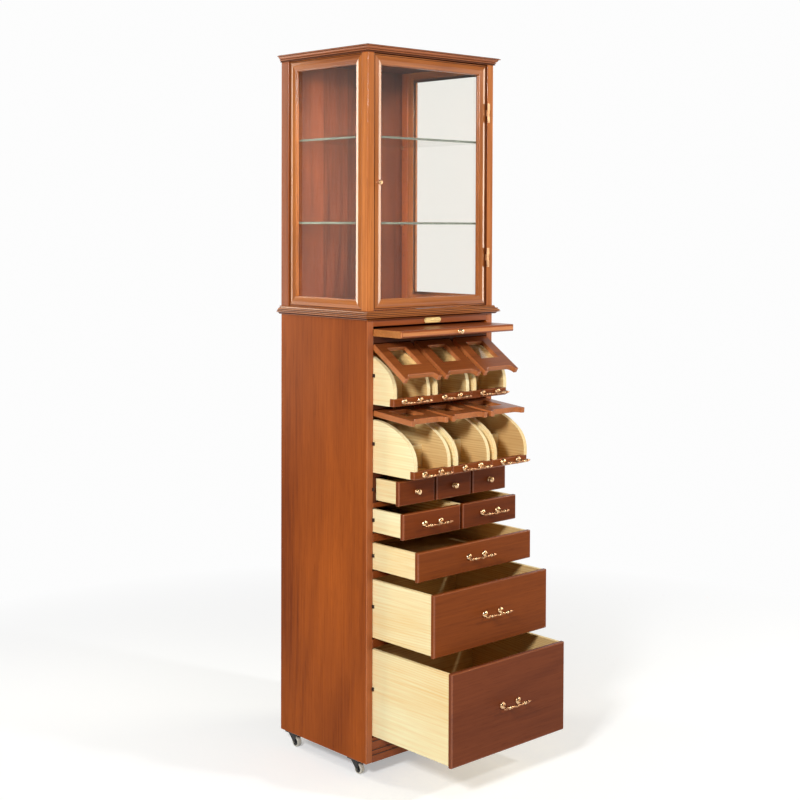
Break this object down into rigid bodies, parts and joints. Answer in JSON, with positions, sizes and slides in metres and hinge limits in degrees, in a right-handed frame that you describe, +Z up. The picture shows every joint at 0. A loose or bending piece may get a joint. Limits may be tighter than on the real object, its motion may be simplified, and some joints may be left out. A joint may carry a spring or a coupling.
{
  "type": "haberdashery cabinet",
  "caption": "Tall narrow shop cabinet on casters: glazed display case with a hinged door over a pull-out board, quadrant bins under glazed lids, and drawers with brass pulls.",
  "frame": {"origin": "on the floor, at the middle of the footprint of the cabinet with its drawers standing open as at rest", "axes": "+X to the right along the front, +Y to the back, +Z up"},
  "size_m": [0.509, 0.697, 1.95],
  "materials": {
    "case_wood": "stained and polished orange-brown wood with plank grain",
    "inner_wood": "dull dark stained wood",
    "front_wood": "dark stained and polished wood",
    "lid_wood": "dark red-brown stained wood",
    "pine": "pale unfinished pine",
    "brass": "polished cast brass",
    "glass": "clear glass with a faint green edge",
    "caster_metal": "black enamelled steel",
    "tyre": "pale translucent tread on a black core"
  },
  "bodies": {
    "root": {"case_sides": "case_wood", "case_back": "case_wood", "case_shelves": "inner_wood", "front_rails": "case_wood", "drawer_guides": "inner_wood", "waist_moulding": "case_wood", "cornice": "case_wood", "display_posts": "case_wood", "display_back": "inner_wood", "side_sashes": "case_wood", "display_glass": "glass", "brass_fittings": "brass", "caster_plates": "caster_metal"},
    "door": {"door_frame": "case_wood", "door_glass": "glass", "door_fittings": "brass"},
    "slide": {"slide_board": "front_wood", "slide_knob": "brass"},
    "bin_1_left": {"bin_1_left": "pine"},
    "lid_1_left": {"lid_1_left_frame": "lid_wood", "lid_1_left_glass": "glass"},
    "bin_1_middle": {"bin_1_middle": "pine"},
    "lid_1_middle": {"lid_1_middle_frame": "lid_wood", "lid_1_middle_glass": "glass"},
    "bin_1_right": {"bin_1_right": "pine"},
    "lid_1_right": {"lid_1_right_frame": "lid_wood", "lid_1_right_glass": "glass"},
    "bin_2_left": {"bin_2_left": "pine"},
    "lid_2_left": {"lid_2_left_frame": "lid_wood", "lid_2_left_glass": "glass"},
    "bin_2_middle": {"bin_2_middle": "pine"},
    "lid_2_middle": {"lid_2_middle_frame": "lid_wood", "lid_2_middle_glass": "glass"},
    "bin_2_right": {"bin_2_right": "pine"},
    "lid_2_right": {"lid_2_right_frame": "lid_wood", "lid_2_right_glass": "glass"},
    "drawer_3_left": {"drawer_3_left": "front_wood", "knob_3_left": "brass"},
    "drawer_3_middle": {"drawer_3_middle": "front_wood", "knob_3_middle": "brass"},
    "drawer_3_right": {"drawer_3_right": "front_wood", "knob_3_right": "brass"},
    "drawer_4_left": {"drawer_4_left": "front_wood", "pull_4_left": "brass"},
    "drawer_4_right": {"drawer_4_right": "front_wood", "pull_4_right": "brass"},
    "drawer_5": {"drawer_5": "front_wood", "pull_5": "brass"},
    "drawer_6": {"drawer_6": "front_wood", "pull_6": "brass"},
    "drawer_7": {"drawer_7": "front_wood", "pull_7": "brass"},
    "fork_front_left": {"fork_front_left": "caster_metal"},
    "wheel_front_left": {"wheel_front_left": "tyre"},
    "fork_front_right": {"fork_front_right": "caster_metal"},
    "wheel_front_right": {"wheel_front_right": "tyre"},
    "fork_rear_left": {"fork_rear_left": "caster_metal"},
    "wheel_rear_left": {"wheel_rear_left": "tyre"},
    "fork_rear_right": {"fork_rear_right": "caster_metal"},
    "wheel_rear_right": {"wheel_rear_right": "tyre"}
  },
  "joints": [
    {"name": "door_hinge", "type": "hinge", "parent": "root", "child": "door", "pos_m": [0.2145, -0.023, 1.5895], "axis": [0, 0, 1], "range_deg": [0, 110]},
    {"name": "slide_travel", "type": "slide", "parent": "root", "child": "slide", "axis": [0, -1, 0], "range_m": [-0.108, 0.132]},
    {"name": "bin_1_left_slide", "type": "slide", "parent": "root", "child": "bin_1_left", "axis": [0, -1, 0], "range_m": [-0.097, 0.055]},
    {"name": "lid_1_left_hinge", "type": "hinge", "parent": "root", "child": "lid_1_left", "pos_m": [-0.14833, -0.0195, 1.161], "axis": [-1, 0, 0], "range_deg": [-56.51, 32.05]},
    {"name": "bin_1_middle_slide", "type": "slide", "parent": "root", "child": "bin_1_middle", "axis": [0, -1, 0], "range_m": [-0.097, 0.055]},
    {"name": "lid_1_middle_hinge", "type": "hinge", "parent": "root", "child": "lid_1_middle", "pos_m": [0, -0.0195, 1.161], "axis": [-1, 0, 0], "range_deg": [-56.51, 32.05]},
    {"name": "bin_1_right_slide", "type": "slide", "parent": "root", "child": "bin_1_right", "axis": [0, -1, 0], "range_m": [-0.097, 0.055]},
    {"name": "lid_1_right_hinge", "type": "hinge", "parent": "root", "child": "lid_1_right", "pos_m": [0.14833, -0.0195, 1.161], "axis": [-1, 0, 0], "range_deg": [-56.51, 32.05]},
    {"name": "bin_2_left_slide", "type": "slide", "parent": "root", "child": "bin_2_left", "axis": [0, -1, 0], "range_m": [-0.176, 0.008]},
    {"name": "lid_2_left_hinge", "type": "hinge", "parent": "root", "child": "lid_2_left", "pos_m": [-0.14833, -0.0195, 0.9845], "axis": [-1, 0, 0], "range_deg": [-85.01, 3.87]},
    {"name": "bin_2_middle_slide", "type": "slide", "parent": "root", "child": "bin_2_middle", "axis": [0, -1, 0], "range_m": [-0.176, 0.008]},
    {"name": "lid_2_middle_hinge", "type": "hinge", "parent": "root", "child": "lid_2_middle", "pos_m": [0, -0.0195, 0.9845], "axis": [-1, 0, 0], "range_deg": [-85.01, 3.87]},
    {"name": "bin_2_right_slide", "type": "slide", "parent": "root", "child": "bin_2_right", "axis": [0, -1, 0], "range_m": [-0.176, 0.008]},
    {"name": "lid_2_right_hinge", "type": "hinge", "parent": "root", "child": "lid_2_right", "pos_m": [0.14833, -0.0195, 0.9845], "axis": [-1, 0, 0], "range_deg": [-85.01, 3.87]},
    {"name": "drawer_3_left_slide", "type": "slide", "parent": "root", "child": "drawer_3_left", "axis": [0, -1, 0], "range_m": [-0.088, 0.217]},
    {"name": "drawer_3_middle_slide", "type": "slide", "parent": "root", "child": "drawer_3_middle", "axis": [0, -1, 0], "range_m": [-0.088, 0.217]},
    {"name": "drawer_3_right_slide", "type": "slide", "parent": "root", "child": "drawer_3_right", "axis": [0, -1, 0], "range_m": [-0.088, 0.217]},
    {"name": "drawer_4_left_slide", "type": "slide", "parent": "root", "child": "drawer_4_left", "axis": [0, -1, 0], "range_m": [-0.118, 0.187]},
    {"name": "drawer_4_right_slide", "type": "slide", "parent": "root", "child": "drawer_4_right", "axis": [0, -1, 0], "range_m": [-0.118, 0.187]},
    {"name": "drawer_5_slide", "type": "slide", "parent": "root", "child": "drawer_5", "axis": [0, -1, 0], "range_m": [-0.174, 0.131]},
    {"name": "drawer_6_slide", "type": "slide", "parent": "root", "child": "drawer_6", "axis": [0, -1, 0], "range_m": [-0.234, 0.071]},
    {"name": "drawer_7_slide", "type": "slide", "parent": "root", "child": "drawer_7", "axis": [0, -1, 0], "range_m": [-0.299, 0.006]},
    {"name": "fork_front_left_swivel", "type": "hinge", "parent": "root", "child": "fork_front_left", "pos_m": [-0.2175, 0.0405, 0.042], "axis": [0, 0, 1], "continuous": true},
    {"name": "wheel_front_left_roll", "type": "hinge", "parent": "fork_front_left", "child": "wheel_front_left", "pos_m": [-0.2175, 0.0295, 0.014], "axis": [1, 0, 0], "continuous": true},
    {"name": "fork_front_right_swivel", "type": "hinge", "parent": "root", "child": "fork_front_right", "pos_m": [0.2175, 0.0405, 0.042], "axis": [0, 0, 1], "continuous": true},
    {"name": "wheel_front_right_roll", "type": "hinge", "parent": "fork_front_right", "child": "wheel_front_right", "pos_m": [0.2175, 0.0295, 0.014], "axis": [1, 0, 0], "continuous": true},
    {"name": "fork_rear_left_swivel", "type": "hinge", "parent": "root", "child": "fork_rear_left", "pos_m": [-0.2175, 0.3105, 0.042], "axis": [0, 0, 1], "continuous": true},
    {"name": "wheel_rear_left_roll", "type": "hinge", "parent": "fork_rear_left", "child": "wheel_rear_left", "pos_m": [-0.2175, 0.2995, 0.014], "axis": [1, 0, 0], "continuous": true},
    {"name": "fork_rear_right_swivel", "type": "hinge", "parent": "root", "child": "fork_rear_right", "pos_m": [0.2175, 0.3105, 0.042], "axis": [0, 0, 1], "continuous": true},
    {"name": "wheel_rear_right_roll", "type": "hinge", "parent": "fork_rear_right", "child": "wheel_rear_right", "pos_m": [0.2175, 0.2995, 0.014], "axis": [1, 0, 0], "continuous": true}
  ],
  "couplings": [
    {"joint": "lid_1_left_hinge", "follows": "bin_1_left_slide", "rad_per_m": 10.166},
    {"joint": "lid_1_middle_hinge", "follows": "bin_1_middle_slide", "rad_per_m": 10.166},
    {"joint": "lid_1_right_hinge", "follows": "bin_1_right_slide", "rad_per_m": 10.166},
    {"joint": "lid_2_left_hinge", "follows": "bin_2_left_slide", "rad_per_m": 8.4291},
    {"joint": "lid_2_middle_hinge", "follows": "bin_2_middle_slide", "rad_per_m": 8.4291},
    {"joint": "lid_2_right_hinge", "follows": "bin_2_right_slide", "rad_per_m": 8.4291}
  ]
}
